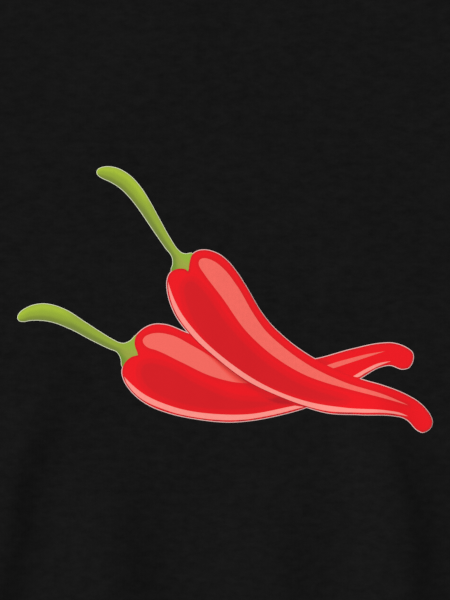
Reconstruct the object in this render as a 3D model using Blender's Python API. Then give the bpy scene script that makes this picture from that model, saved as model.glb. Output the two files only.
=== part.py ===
"""A black short-sleeved T-shirt, laid flat with its front up, with two red chili peppers printed on the chest.

Metres, +Z up, +Y towards the collar, +X to the right as one looks down on the front.
The origin is on the surface that the shirt lies on, under the middle of its outline.
"""
import math

import bpy
from mathutils import Vector
from mathutils.geometry import delaunay_2d_cdt

MM = 0.001

# Cut of the garment
BODY_LENGTH = 0.720
BODY_HALF_WIDTH = 0.255
NECK_HALF_WIDTH = 0.090
FRONT_NECK_DROP = 0.100
SHOULDER_HALF_WIDTH = 0.225
SHOULDER_DROP = 0.045
UNDERARM_DROP = 0.272
SLEEVE_LENGTH = 0.215
SLEEVE_SLOPE = math.radians(28)
CUFF_WIDTH = 0.170
CUFF_LEAN = math.radians(26)

# Collar
RIB_WIDTH = 0.020
RIB_THICKNESS = 0.0020
RIB_FOLD_RADIUS = 0.0014
RIB_EDGE_ROUND = 0.0008
BACK_EDGE_DIP = 0.006
TAPE_WIDTH = 0.0092
TAPE_THICKNESS = 0.0007
TAPE_END = math.radians(20)

# Cloth and the way it lies
CLOTH = 0.0010
GAP = 0.0003
LOFT = 0.0060
EDGE_ROUND = 0.035

# Soft folds that fan out from under the print to the hem, kept low in this stiff cloth
FOLD_START = -0.098
FOLD_GROWTH = 0.120
FOLDS = (
    # crest below the print, crest at the hem, half widths left and right of it, height
    (-0.138, -0.194, 0.038, 0.018, 0.0018),
    (-0.076, -0.112, 0.046, 0.028, 0.0018),
    (0.037, 0.054, 0.066, 0.028, 0.0016),
    (0.113, 0.160, 0.042, 0.021, 0.0020),
)

# Print
PRINT_DROP = 0.328
INK = 0.0003
WHITE_RIM = 0.00045
INK_SPACING = 0.0045

# The top of the shirt stands a fold above the high point of the shoulder
TOP_RISE = RIB_FOLD_RADIUS + RIB_THICKNESS / 2
HPS_Y = (BODY_LENGTH - TOP_RISE) / 2
HEM_Y = HPS_Y - BODY_LENGTH
PRINT_Y = HPS_Y - PRINT_DROP

HPS = Vector((NECK_HALF_WIDTH, HPS_Y))
SHOULDER = Vector((SHOULDER_HALF_WIDTH, HPS_Y - SHOULDER_DROP))
UNDERARM = Vector((BODY_HALF_WIDTH, HPS_Y - UNDERARM_DROP))
HEM_CORNER = Vector((BODY_HALF_WIDTH, HEM_Y))
CUFF_TOP = SHOULDER + SLEEVE_LENGTH * Vector((math.cos(SLEEVE_SLOPE), -math.sin(SLEEVE_SLOPE)))
CUFF_BOTTOM = CUFF_TOP + CUFF_WIDTH * Vector((-math.sin(CUFF_LEAN), -math.cos(CUFF_LEAN)))
ARMHOLE_HANDLES = (Vector((0.206, HPS_Y - 0.120)), Vector((0.198, HPS_Y - 0.236)))

# Edges of the right half where front and back cloth turn into each other
CLOSED_EDGES = (
    (HPS, SHOULDER),
    (SHOULDER, CUFF_TOP),
    (UNDERARM, CUFF_BOTTOM),
    (UNDERARM, HEM_CORNER),
)

# Points of the surfaces: rows at these distances inside a closed edge follow its rounding, and the other
# points are this far apart along the rims, over the chest and over the folds
EDGE_ROWS = (0.0025, 0.007, 0.014, 0.024, 0.038)
FRONT_SPACING = 0.014
BACK_SPACING = 0.036
CHEST_SPACING = 0.048
FOLD_SPACING = (0.0115, 0.026)
RIM_CLEARANCE = 0.0022
NECK_STEPS = 30
ARMHOLE_STEPS = 5
SLEEVE_STEPS = 6
FRONT_RIB_STEPS = 32
BACK_RIB_STEPS = 20
FOLD_RIB_STEPS = 5
TAPE_STEPS = 20
SAME_POINT = 1e-7

# Printed shapes: knots in millimetres from the print's centre. A knot marked True is a sharp corner
UPPER_STEM = (
    (-90.0, 89.6), (-88.5, 92.0), (-85.4, 93.2), (-77.1, 92.9), (-66.6, 87.4), (-59.5, 79.9), (-52.7, 69.5),
    (-45.6, 56.5), (-38.2, 43.3), (-32.8, 35.4), (-30.0, 33.1), (-27.3, 32.5), (-23.3, 33.1), (-19.6, 26.6),
    (-21.0, 17.5), (-31.5, 15.4), (-38.0, 20.8), (-36.8, 25.2), (-37.1, 29.4), (-42.2, 36.7), (-52.6, 51.8),
    (-59.9, 62.6), (-66.6, 71.3), (-73.6, 78.2), (-80.7, 82.7), (-86.2, 85.2), (-88.9, 87.1),
)
LOWER_STEM = (
    (-145.4, -12.2), (-144.4, -9.6), (-138.5, -5.0), (-127.8, -2.4), (-120.5, -3.3), (-112.8, -6.0),
    (-96.7, -16.0), (-87.5, -22.0), (-77.6, -27.9), (-74.1, -29.6), (-71.2, -30.1), (-66.2, -28.1),
    (-62.9, -24.7), (-60.0, -22.9), (-55.3, -26.6), (-52.5, -36.4), (-59.5, -46.2), (-67.9, -49.0),
    (-72.4, -46.3), (-73.0, -41.5), (-75.9, -36.4), (-80.5, -34.5), (-94.4, -27.8), (-108.5, -20.4),
    (-122.5, -15.3), (-129.5, -14.4), (-136.5, -14.5), (-141.4, -15.3), (-144.2, -14.7),
)
UPPER_PEPPER = (
    (-25.1, 19.7, True), (-24.3, 26.0), (-22.9, 32.4), (-20.0, 34.4), (-13.3, 35.4), (-9.1, 34.5), (-3.3, 31.9),
    (2.8, 26.8), (8.5, 19.8), (14.8, 10.1), (26.2, -9.0), (31.6, -16.0), (38.9, -23.3), (48.6, -31.4),
    (58.4, -38.1), (73.5, -46.3), (86.1, -51.7), (98.1, -55.9), (108.5, -58.8), (128.8, -66.9), (135.1, -70.7),
    (139.9, -75.1), (143.5, -79.9), (145.4, -85.1), (144.3, -89.4), (141.4, -91.9), (138.2, -93.0),
    (134.6, -91.5), (127.2, -84.2), (123.8, -82.4), (118.3, -81.3), (94.5, -80.4), (70.0, -79.0), (56.6, -75.3),
    (37.6, -68.2), (15.7, -57.8), (-7.4, -40.8), (-24.9, -24.4), (-36.6, -7.5), (-40.9, 7.7), (-41.0, 13.3),
    (-38.8, 19.2), (-30.8, 21.8), (-27.3, 21.0),
)
UPPER_LIGHT = (
    (-18.5, 26.0), (-17.4, 28.4), (-14.4, 29.3), (-11.0, 28.6), (-6.3, 26.3), (0.1, 20.8), (8.1, 10.4),
    (21.2, -11.6), (28.3, -21.3), (37.8, -30.3), (58.9, -45.7), (83.4, -57.4), (112.7, -66.7), (122.3, -70.8),
    (128.1, -73.5, True), (112.8, -69.1), (83.4, -61.5), (70.1, -57.7), (58.9, -53.7), (36.7, -41.2),
    (15.3, -22.3), (-2.1, 1.8), (-14.9, 18.8), (-17.7, 23.1),
)
UPPER_DARK = (
    (-29.2, 8.4), (-26.2, 13.3), (-22.8, 13.8), (-16.8, 9.1), (0.0, -13.8), (23.8, -39.2), (57.8, -60.4),
    (73.5, -65.8), (86.1, -70.0, True), (73.5, -71.8), (57.8, -68.9), (31.8, -59.9), (6.0, -44.4),
    (-18.6, -21.4), (-28.4, 1.4),
)
UPPER_EDGE = (
    (-39.9, 13.0, True), (-38.0, 6.9), (-30.1, -9.8), (-21.9, -20.6), (2.2, -42.9), (32.3, -61.8), (59.6, -71.5),
    (84.0, -75.3), (114.4, -77.3), (122.0, -78.7), (128.1, -81.3, True), (114.4, -79.0), (94.4, -78.6),
    (70.2, -77.4), (56.9, -74.2), (38.0, -67.3), (16.2, -56.9), (-6.7, -39.9), (-24.0, -23.6), (-35.3, -7.0),
    (-39.5, 7.3),
)
LOWER_PEPPER = (
    (-60.6, -38.9, True), (-63.1, -30.1), (-62.3, -24.9), (-59.2, -21.2), (-49.7, -16.6), (-42.7, -16.7),
    (-27.3, -22.2), (21.0, -42.0), (45.5, -43.3), (63.2, -40.9), (88.8, -34.0), (110.6, -29.8), (116.9, -29.7),
    (122.9, -31.1), (128.1, -33.6), (131.6, -36.8), (132.2, -39.9), (131.1, -44.5), (128.7, -47.7),
    (125.0, -48.7), (114.8, -46.0), (109.2, -47.1), (95.2, -54.8), (66.5, -71.4), (56.4, -75.7), (38.6, -80.8),
    (16.1, -84.9), (4.9, -85.7), (-17.9, -83.9), (-41.3, -78.8), (-51.1, -75.1), (-66.5, -63.4),
    (-70.7, -57.1), (-72.5, -50.4), (-71.3, -45.2), (-68.3, -41.7), (-64.4, -39.7),
)
LOWER_LIGHT = (
    (-57.6, -28.4), (-56.2, -25.8), (-53.1, -24.1), (-48.3, -23.1), (-37.8, -24.5), (-23.1, -31.8),
    (4.9, -49.8), (10.8, -54.6), (16.1, -58.3, True), (9.1, -57.8), (-8.9, -53.5), (-31.3, -43.1),
    (-48.8, -34.9), (-53.6, -33.4), (-56.2, -31.5),
)
LOWER_DARK = (
    (-59.4, -50.9), (-57.8, -45.5), (-51.8, -43.8), (-42.8, -45.5), (-19.6, -58.1), (6.3, -68.7), (28.7, -70.6),
    (46.2, -71.4, True), (28.7, -75.0), (-2.8, -77.2), (-29.4, -73.2), (-51.8, -63.4), (-57.4, -57.4),
)
LOWER_EDGE = (
    (-71.1, -53.6, True), (-66.1, -58.2), (-59.6, -63.8), (-37.1, -74.5), (-2.7, -80.0), (15.2, -79.8),
    (49.0, -73.6, True), (55.2, -74.8, True), (33.0, -80.5), (10.6, -83.9), (-20.3, -82.1), (-39.2, -77.7),
    (-64.1, -65.0), (-69.4, -58.2),
)
TIP_STREAK = (
    (71.3, -45.7, True), (77.9, -43.5), (86.9, -41.0), (98.5, -38.1), (112.0, -35.8, True), (98.6, -40.3),
    (87.0, -44.1), (75.9, -47.8, True),
)
TIP_EDGE = (
    (89.6, -53.4, True), (98.2, -48.4), (108.1, -44.1), (116.2, -42.8, True), (108.1, -45.9), (98.2, -51.0),
    (92.1, -54.0),
)


def clear_scene():
    for item in list(bpy.data.objects):
        bpy.data.objects.remove(item, do_unlink=True)


def material(name, colour, roughness):
    made = bpy.data.materials.new(name)
    made.use_nodes = True
    made.diffuse_color = (*colour, 1.0)
    shader = made.node_tree.nodes["Principled BSDF"]
    shader.inputs["Base Color"].default_value = (*colour, 1.0)
    shader.inputs["Roughness"].default_value = roughness
    shader.inputs["Metallic"].default_value = 0.0
    return made


def add_object(name, points, faces, finish):
    mesh = bpy.data.meshes.new(name)
    mesh.from_pydata(points, [], faces)
    mesh.update()
    mesh.materials.append(finish)
    item = bpy.data.objects.new(name, mesh)
    bpy.context.collection.objects.link(item)
    return item


# Heights of the cloth


def distance_to_edge(point, edge):
    start, end = edge
    along = end - start
    share = max(0.0, min(1.0, (point - start).dot(along) / along.length_squared))
    return (point - (start + share * along)).length


def closed_distance(x, y):
    """Distance to the nearest edge where the front turns into the back."""
    point = Vector((abs(x), y))
    return min(distance_to_edge(point, edge) for edge in CLOSED_EDGES)


def smooth_step(share):
    share = max(0.0, min(1.0, share))
    return share * share * (3 - 2 * share)


def fold_height(x, y):
    """Height that the fanning folds add below the print."""
    below = PRINT_Y + FOLD_START - y
    if below <= 0:
        return 0.0
    growth = smooth_step(below / FOLD_GROWTH)
    share = below / (PRINT_Y + FOLD_START - HEM_Y)
    total = 0.0
    for start_x, hem_x, left, right, height in FOLDS:
        across = x - (start_x + share * (hem_x - start_x))
        half_width = left if across < 0 else right
        total += height * math.exp(-((across / half_width) ** 2))
    return growth * total


def front_underside(x, y):
    """Underside of the upper cloth: rounded up from the closed edges to a level chest, with folds below it."""
    inward = min(1.0, closed_distance(x, y) / EDGE_ROUND)
    rounding = math.sqrt(1 - (1 - inward) ** 2)
    return CLOTH + GAP + LOFT * rounding + fold_height(x, y)


def front_top(x, y):
    return front_underside(x, y) + CLOTH


# Outlines


def neck_point(half_width, drop, angle):
    """A point of a neckline, from the right shoulder at angle 0 round to the left one at pi."""
    return Vector((half_width * math.cos(angle), HPS_Y - drop * math.sin(angle)))


def armhole(share):
    """The right armhole seam, from the shoulder point to the underarm, with its outward normal."""
    rest = 1 - share
    first, second = ARMHOLE_HANDLES
    point = (
        rest**3 * SHOULDER
        + 3 * rest**2 * share * first
        + 3 * rest * share**2 * second
        + share**3 * UNDERARM
    )
    heading = (
        rest**2 * (first - SHOULDER)
        + 2 * rest * share * (second - first)
        + share**2 * (UNDERARM - second)
    ).normalized()
    return point, Vector((-heading.y, heading.x))


def armhole_shares():
    """Places along the armhole, close together near both ends where the cloth is rounded."""
    length = (UNDERARM - SHOULDER).length
    near = [0.0] + [row / length for row in EDGE_ROWS]
    first, last = near[-1], 1 - near[-1]
    middle = [first + (last - first) * step / ARMHOLE_STEPS for step in range(1, ARMHOLE_STEPS)]
    return near + middle + [1 - share for share in reversed(near)]


def line_points(start, end, spacing):
    """Points from start up to, but not at, end."""
    steps = max(1, round((end - start).length / spacing))
    return [start.lerp(end, step / steps) for step in range(steps)]


def mirrored(points):
    return [Vector((-point.x, point.y)) for point in reversed(points)]


def panel_outline(neck_drop, spacing):
    """A body panel without its sleeves, counterclockwise from the right end of the neckline."""
    hem = line_points(Vector((-BODY_HALF_WIDTH, HEM_Y)), HEM_CORNER, spacing)
    right = line_points(HEM_CORNER, UNDERARM, spacing)
    right += [armhole(1 - share)[0] for share in armhole_shares()]
    right += line_points(SHOULDER, HPS + Vector((GAP, 0)), spacing)[1:]
    neck = []
    for step in range(NECK_STEPS + 1):
        angle = math.pi * step / NECK_STEPS
        neck.append(neck_point(NECK_HALF_WIDTH + GAP, neck_drop + GAP, angle))
    return hem + right + neck + mirrored(right)[:-1]


def spline_outline(knots, spacing):
    """A closed smooth outline through the knots, in metres on the shirt, broken at the sharp ones."""
    places = [Vector((knot[0] * MM, PRINT_Y + knot[1] * MM)) for knot in knots]
    sharp = [len(knot) == 3 for knot in knots]
    count = len(places)
    outline = []
    for index in range(count):
        start = places[index]
        end = places[(index + 1) % count]
        before = start if sharp[index] else places[index - 1]
        after = end if sharp[(index + 1) % count] else places[(index + 2) % count]
        chord = (end - start).length
        leave = tangent(before, start, end) * chord
        arrive = tangent(start, end, after) * chord
        steps = max(1, round(chord / spacing))
        for step in range(steps):
            outline.append(hermite(start, end, leave, arrive, step / steps))
    return outline


def tangent(before, here, after):
    """Unit direction of the outline at a knot, leaning to its nearer neighbour."""
    back = here - before
    ahead = after - here
    if back.length == 0:
        return ahead.normalized()
    if ahead.length == 0:
        return back.normalized()
    return (back * (ahead.length / back.length) + ahead * (back.length / ahead.length)).normalized()


def hermite(start, end, leave, arrive, share):
    square = share * share
    cube = square * share
    return (
        (2 * cube - 3 * square + 1) * start
        + (cube - 2 * square + share) * leave
        + (3 * square - 2 * cube) * end
        + (cube - square) * arrive
    )


def grown(outline, amount):
    """The outline moved outwards, whichever way round it runs."""
    count = len(outline)
    area = sum(outline[i - 1].cross(outline[i]) for i in range(count))
    turn = 1 if area > 0 else -1
    moved = []
    for index in range(count):
        along = outline[(index + 1) % count] - outline[index - 1]
        moved.append(outline[index] + turn * amount * Vector((along.y, -along.x)).normalized())
    return moved


# Solids


def fill(outlines, extra_points=()):
    """Triangles inside one or more outlines, which may overlap, as points and counterclockwise triples."""
    points = []
    edges = []
    for outline in outlines:
        first = len(points)
        count = len(outline)
        points.extend(outline)
        edges.extend((first + i, first + (i + 1) % count) for i in range(count))
    points.extend(extra_points)
    places, _, triangles, _, _, _ = delaunay_2d_cdt(points, edges, [], 0, SAME_POINT, False)
    turned = []
    for a, b, c in triangles:
        middle = (places[a] + places[b] + places[c]) / 3
        if any(inside(middle, outline) for outline in outlines):
            ahead = (places[b] - places[a]).cross(places[c] - places[a]) > 0
            turned.append((a, b, c) if ahead else (a, c, b))
    used = sorted({corner for triangle in turned for corner in triangle})
    place_of = {old: new for new, old in enumerate(used)}
    kept = [places[old] for old in used]
    return kept, [tuple(place_of[corner] for corner in triangle) for triangle in turned]


def sheet(name, flat, underside, top, finish):
    """A closed sheet over a filled outline, with both faces split alike."""
    places, triangles = flat
    count = len(places)
    points = [(p.x, p.y, top(p.x, p.y)) for p in places]
    points += [(p.x, p.y, underside(p.x, p.y)) for p in places]
    faces = list(triangles)
    faces += [(c + count, b + count, a + count) for a, b, c in triangles]
    sides = {(t[i], t[(i + 1) % 3]) for t in triangles for i in range(3)}
    for start, end in sides:
        if (end, start) not in sides:
            faces.append((start, start + count, end + count))
            faces.append((start, end + count, end))
    return add_object(name, points, faces, finish)


def slab(name, flat, low, high, finish):
    return sheet(name, flat, lambda x, y: low, lambda x, y: high, finish)


def tube_faces(loops, corners, closed_run):
    """Faces between neighbouring loops of points, all with the same number of corners."""
    faces = []
    pairs = loops if closed_run else loops - 1
    for loop in range(pairs):
        here = loop * corners
        there = ((loop + 1) % loops) * corners
        for corner in range(corners):
            after = (corner + 1) % corners
            faces.append((here + corner, there + corner, there + after))
            faces.append((here + corner, there + after, here + after))
    return faces


# Pieces


def chest_points(outline):
    """Points inside the front panel: rows along the closed edges, then a grid that is finer in the folds."""
    places = []
    for start, end in (CLOSED_EDGES[0], CLOSED_EDGES[3]):
        along = (end - start).normalized()
        inward = Vector((along.y, -along.x))
        for row in EDGE_ROWS:
            places += [point + row * inward for point in line_points(start, end, FRONT_SPACING)]
    fold_top = PRINT_Y + FOLD_START
    across, down = FOLD_SPACING
    reach = BODY_HALF_WIDTH - EDGE_ROWS[-1] - across
    places += grid_points(reach, HEM_Y + down, fold_top, across, down)
    places += grid_points(reach, fold_top + CHEST_SPACING, HPS_Y, CHEST_SPACING, CHEST_SPACING)
    places += [Vector((-p.x, p.y)) for p in places if p.x > 0]
    return [p for p in places if inside(p, outline) and outline_distance(p, outline) > RIM_CLEARANCE]


def grid_points(reach, low, high, across, down):
    """A regular grid on the right half, from the middle out to reach and from low up to high."""
    columns = round(reach / across)
    rows = round((high - low) / down)
    return [Vector((reach * column / columns, low + (high - low) * row / rows))
            for column in range(columns + 1) for row in range(rows + 1)]


def inside(point, outline):
    hit = False
    for index in range(len(outline)):
        a = outline[index - 1]
        b = outline[index]
        if (a.y > point.y) != (b.y > point.y):
            cross_x = a.x + (point.y - a.y) / (b.y - a.y) * (b.x - a.x)
            hit = hit != (cross_x > point.x)
    return hit


def outline_distance(point, outline):
    return min(distance_to_edge(point, (outline[i - 1], outline[i])) for i in range(len(outline)))


def make_body(finish):
    front = panel_outline(FRONT_NECK_DROP, FRONT_SPACING)
    back = panel_outline(RIB_WIDTH + BACK_EDGE_DIP, BACK_SPACING)
    sheet("front_panel", fill([front], chest_points(front)), front_underside, front_top, finish)
    slab("back_panel", fill([back]), 0.0, CLOTH, finish)


def make_sleeve(name, side, finish):
    """A flattened tube, open at the armhole and at the cuff."""
    shares = armhole_shares()
    outer = []
    inner = []
    for step in range(SLEEVE_STEPS + 1):
        line = []
        for share in shares:
            seam, outward = armhole(share)
            line.append((seam + GAP * outward).lerp(CUFF_TOP.lerp(CUFF_BOTTOM, share), step / SLEEVE_STEPS))
        outer += sleeve_loop(line, side, 0.0)
        line[0] = line[0].lerp(line[1], CLOTH / (line[1] - line[0]).length)
        line[-1] = line[-1].lerp(line[-2], CLOTH / (line[-2] - line[-1]).length)
        inner += sleeve_loop(line, side, CLOTH)
    corners = 2 * len(shares)
    shell = tube_faces(SLEEVE_STEPS + 1, corners, False)
    inside_first = len(outer)
    faces = shell + [tuple(inside_first + corner for corner in reversed(face)) for face in shell]
    cuff = SLEEVE_STEPS * corners
    for corner in range(corners):
        after = (corner + 1) % corners
        faces.append((corner, after, inside_first + after))
        faces.append((corner, inside_first + after, inside_first + corner))
        faces.append((cuff + corner, inside_first + cuff + after, cuff + after))
        faces.append((cuff + corner, inside_first + cuff + corner, inside_first + cuff + after))
    if side > 0:
        faces = [tuple(reversed(face)) for face in faces]
    add_object(name, outer + inner, faces, finish)


def sleeve_loop(line, side, depth):
    """Out along the upper cloth and back along the lower one, at a depth in from the outer surface."""
    upper = [(side * p.x, p.y, front_top(p.x, p.y) - depth) for p in line]
    lower = [(side * p.x, p.y, depth) for p in reversed(line)]
    return upper + lower


def rib_stations():
    """Outer edge, inner edge and upward normal of the collar, round the front and back along the back."""
    low = RIB_THICKNESS / 2
    high = low + 2 * RIB_FOLD_RADIUS
    stations = []
    for step in range(FRONT_RIB_STEPS + 1):
        angle = math.pi * (1 - step / FRONT_RIB_STEPS)
        seam = neck_point(NECK_HALF_WIDTH, FRONT_NECK_DROP, angle)
        inward = Vector((-FRONT_NECK_DROP * math.cos(angle), NECK_HALF_WIDTH * math.sin(angle))).normalized()
        edge = seam + RIB_WIDTH * inward
        height = max(high, front_underside(seam.x, seam.y) + CLOTH / 2)
        stations.append(((*seam, height), (*edge, height), (0, 0, 1)))
    stations += fold_stations(1, high)
    for step in range(BACK_RIB_STEPS + 1):
        angle = math.pi * step / BACK_RIB_STEPS
        seam = neck_point(NECK_HALF_WIDTH, RIB_WIDTH + BACK_EDGE_DIP, angle)
        edge = neck_point(NECK_HALF_WIDTH - RIB_WIDTH, BACK_EDGE_DIP, angle)
        stations.append(((*seam, low), (*edge, low), (0, 0, -1)))
    stations += reversed(fold_stations(-1, high))
    return stations


def fold_stations(side, high):
    """The turn of the collar from the front to the back at one shoulder."""
    turned = []
    for step in range(1, FOLD_RIB_STEPS):
        angle = math.pi * step / FOLD_RIB_STEPS
        y = HPS_Y + RIB_FOLD_RADIUS * math.sin(angle)
        z = high - RIB_FOLD_RADIUS * (1 - math.cos(angle))
        seam = (side * NECK_HALF_WIDTH, y, z)
        edge = (side * (NECK_HALF_WIDTH - RIB_WIDTH), y, z)
        turned.append((seam, edge, (0, math.sin(angle), math.cos(angle))))
    return turned


def make_collar(finish):
    """A doubled rib band, as one ring with a rounded inner edge."""
    points = []
    stations = rib_stations()
    for seam, edge, normal in stations:
        seam, edge, normal = Vector(seam), Vector(edge), Vector(normal)
        rise = RIB_THICKNESS / 2 * normal
        brink = edge - RIB_EDGE_ROUND * (edge - seam).normalized()
        points += [tuple(place) for place in (seam - rise, seam + rise, brink + rise, edge, brink - rise)]
    add_object("collar_rib", points, tube_faces(len(stations), len(points) // len(stations), True), finish)


def make_neck_tape(finish):
    """A strip that covers the back neck seam on the inside."""
    drop = RIB_WIDTH + BACK_EDGE_DIP
    near = []
    far = []
    for step in range(TAPE_STEPS + 1):
        angle = TAPE_END + (math.pi - 2 * TAPE_END) * step / TAPE_STEPS
        for row, reach in ((near, GAP), (far, GAP + TAPE_WIDTH)):
            row.append(neck_point(NECK_HALF_WIDTH + reach, drop + reach, angle))
    low = CLOTH + GAP
    slab("neck_tape", fill([near + far[::-1]]), low, low + TAPE_THICKNESS, finish)


def make_print():
    """Ink films stacked in the order in which the drawing overlaps, on the level part of the chest."""
    chest = front_top(0, PRINT_Y)
    white = material("ink_white", (0.80, 0.78, 0.74), 0.6)
    red = material("ink_red", (0.84, 0.012, 0.018), 0.5)
    dark = material("ink_dark_red", (0.66, 0.014, 0.020), 0.5)
    light = material("ink_light_red", (0.89, 0.15, 0.12), 0.5)
    pink = material("ink_pink", (1.0, 0.30, 0.26), 0.5)
    green = material("ink_green", (0.30, 0.46, 0.032), 0.5)
    silhouette = [grown(spline_outline(knots, INK_SPACING), WHITE_RIM)
                  for knots in (UPPER_STEM, LOWER_STEM, UPPER_PEPPER, LOWER_PEPPER)]
    films = (
        ("print_white_base", silhouette, 0, white),
        ("print_upper_stem", [spline_outline(UPPER_STEM, INK_SPACING)], 1, green),
        ("print_lower_stem", [spline_outline(LOWER_STEM, INK_SPACING)], 1, green),
        ("print_lower_pepper", [spline_outline(LOWER_PEPPER, INK_SPACING)], 2, red),
        ("print_lower_light", [spline_outline(LOWER_LIGHT, INK_SPACING)], 3, light),
        ("print_lower_dark", [spline_outline(LOWER_DARK, INK_SPACING)], 3, dark),
        ("print_lower_edge", [spline_outline(LOWER_EDGE, INK_SPACING)], 3, pink),
        ("print_tip_streak", [spline_outline(TIP_STREAK, INK_SPACING)], 3, light),
        ("print_tip_edge", [spline_outline(TIP_EDGE, INK_SPACING)], 3, pink),
        ("print_upper_pepper", [spline_outline(UPPER_PEPPER, INK_SPACING)], 4, red),
        ("print_upper_light", [spline_outline(UPPER_LIGHT, INK_SPACING)], 5, light),
        ("print_upper_dark", [spline_outline(UPPER_DARK, INK_SPACING)], 5, dark),
        ("print_upper_edge", [spline_outline(UPPER_EDGE, INK_SPACING)], 5, pink),
    )
    for name, outlines, layer, finish in films:
        low = chest + GAP + layer * (INK + GAP)
        slab(name, fill(outlines), low, low + INK, finish)


def main():
    clear_scene()
    jersey = material("black_jersey", (0.008, 0.008, 0.009), 0.92)
    rib = material("black_rib", (0.009, 0.009, 0.010), 0.92)
    tape = material("black_tape", (0.012, 0.012, 0.013), 0.85)
    make_body(jersey)
    make_sleeve("sleeve_right", 1, jersey)
    make_sleeve("sleeve_left", -1, jersey)
    make_collar(rib)
    make_neck_tape(tape)
    make_print()


main()
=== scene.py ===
"""The looks of a black T-shirt that lies flat, with two red chili peppers printed on its chest.

Metres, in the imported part's frame: +X to the right on the front, +Y to the collar, +Z up out of the front.
"""
import math

import bpy
import numpy as np
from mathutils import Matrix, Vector
from mathutils.geometry import delaunay_2d_cdt


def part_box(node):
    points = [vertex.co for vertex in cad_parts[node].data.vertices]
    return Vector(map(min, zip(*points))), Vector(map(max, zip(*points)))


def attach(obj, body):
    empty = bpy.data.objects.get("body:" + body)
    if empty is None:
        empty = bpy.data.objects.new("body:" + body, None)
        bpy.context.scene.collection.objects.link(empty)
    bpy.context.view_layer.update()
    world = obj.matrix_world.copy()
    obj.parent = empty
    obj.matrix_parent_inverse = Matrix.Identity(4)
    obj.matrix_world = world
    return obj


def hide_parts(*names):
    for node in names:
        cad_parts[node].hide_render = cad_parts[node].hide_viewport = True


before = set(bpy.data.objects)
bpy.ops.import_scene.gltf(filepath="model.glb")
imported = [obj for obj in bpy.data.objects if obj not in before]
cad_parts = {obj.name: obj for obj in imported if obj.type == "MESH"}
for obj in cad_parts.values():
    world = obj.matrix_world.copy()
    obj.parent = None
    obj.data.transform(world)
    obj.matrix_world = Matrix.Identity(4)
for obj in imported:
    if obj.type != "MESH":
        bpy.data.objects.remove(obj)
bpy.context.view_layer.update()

BODY = "root"
MM = 0.001
SIDES = ((1, "right"), (-1, "left"))

# Places read from the frame
front_low, front_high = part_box("front_panel")
HPS_Y = front_high.y
HEM_Y = front_low.y
BODY_HALF_WIDTH = front_high.x

# Cut of the garment, as in the part
NECK_HALF_WIDTH = 0.090
FRONT_NECK_DROP = 0.100
SHOULDER_HALF_WIDTH = 0.225
SHOULDER_DROP = 0.045
UNDERARM_DROP = 0.272
SLEEVE_LENGTH = 0.215
SLEEVE_SLOPE = math.radians(28)
CUFF_WIDTH = 0.170
CUFF_LEAN = math.radians(26)
RIB_WIDTH = 0.020
RIB_THICKNESS = 0.0019
RIB_FOLD_RADIUS = 0.0014
RIB_TURN_OUTER = -0.0004
RIB_TURN_INNER = 0.0024
BACK_EDGE_DIP = 0.006
BACK_NECK_DROP = RIB_WIDTH + BACK_EDGE_DIP
TAPE_WIDTH = 0.0092
TAPE_THICKNESS = 0.0007
TAPE_LIFT = 0.0003
SEAM_GAP = 0.0002
PRINT_Y = HPS_Y - 0.328

HPS = np.array((NECK_HALF_WIDTH, HPS_Y))
SHOULDER = np.array((SHOULDER_HALF_WIDTH, HPS_Y - SHOULDER_DROP))
UNDERARM = np.array((BODY_HALF_WIDTH, HPS_Y - UNDERARM_DROP))
HEM_CORNER = np.array((BODY_HALF_WIDTH, HEM_Y))
CUFF_TOP = SHOULDER + SLEEVE_LENGTH * np.array((math.cos(SLEEVE_SLOPE), -math.sin(SLEEVE_SLOPE)))
CUFF_BOTTOM = CUFF_TOP + CUFF_WIDTH * np.array((-math.sin(CUFF_LEAN), -math.cos(CUFF_LEAN)))
ARMHOLE_HANDLES = (np.array((0.206, HPS_Y - 0.120)), np.array((0.198, HPS_Y - 0.236)))
SHOULDER_EDGE = (HPS, SHOULDER)
SIDE_EDGE = (UNDERARM, HEM_CORNER)
CLOSED_EDGES = (SHOULDER_EDGE, (SHOULDER, CUFF_TOP), (UNDERARM, CUFF_BOTTOM), SIDE_EDGE)

# Cloth and the way it lies. A groove is its depth and half width
JERSEY = 0.0008
EDGE_FLOOR = 0.00005
LOFT = 0.0066
LOWEST_LOFT = 0.004
EDGE_ROUND = 0.035
BACK_INSET = 0.0012
HEM_DEPTH = 0.022
HEM_SWELL = 0.0005
HEM_ROWS = (0.0190, 0.0125)
HEM_ROW_GROOVE = (0.00032, 0.0006)
HEM_EDGE_GROOVE = (0.0004, 0.0005)
SEAM_RIDGE = 0.0007
SEAM_RISE = 0.0016
SEAM_FALL = 0.0014
SEAM_ALLOWANCE = 0.006
SEAM_GROOVE = (0.0002, 0.0007)

# Stitches: pitch, length and radius. Those at the cuffs lie sunk into the hem
HEM_STITCH = (0.0033, 0.0027, 0.00024)
NECK_STITCH = (0.0028, 0.0022, 0.0002)
FINE_STITCH = (0.0030, 0.0024, 0.0002)
CUFF_SINK = 0.0003

# Unevenness: seed of its draws, number of waves, range of their lengths and height
WARP_ACROSS = (3, 6, (0.09, 0.20), 0.004)
WARP_ALONG = (4, 6, (0.09, 0.20), 0.004)
SOFT_RIPPLES = (5, 10, (0.07, 0.18), 0.00035)
FINE_RIPPLES = (6, 12, (0.022, 0.05), 0.00006)
BACK_RIPPLES = (11, 9, (0.05, 0.14), 0.00008)

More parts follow.
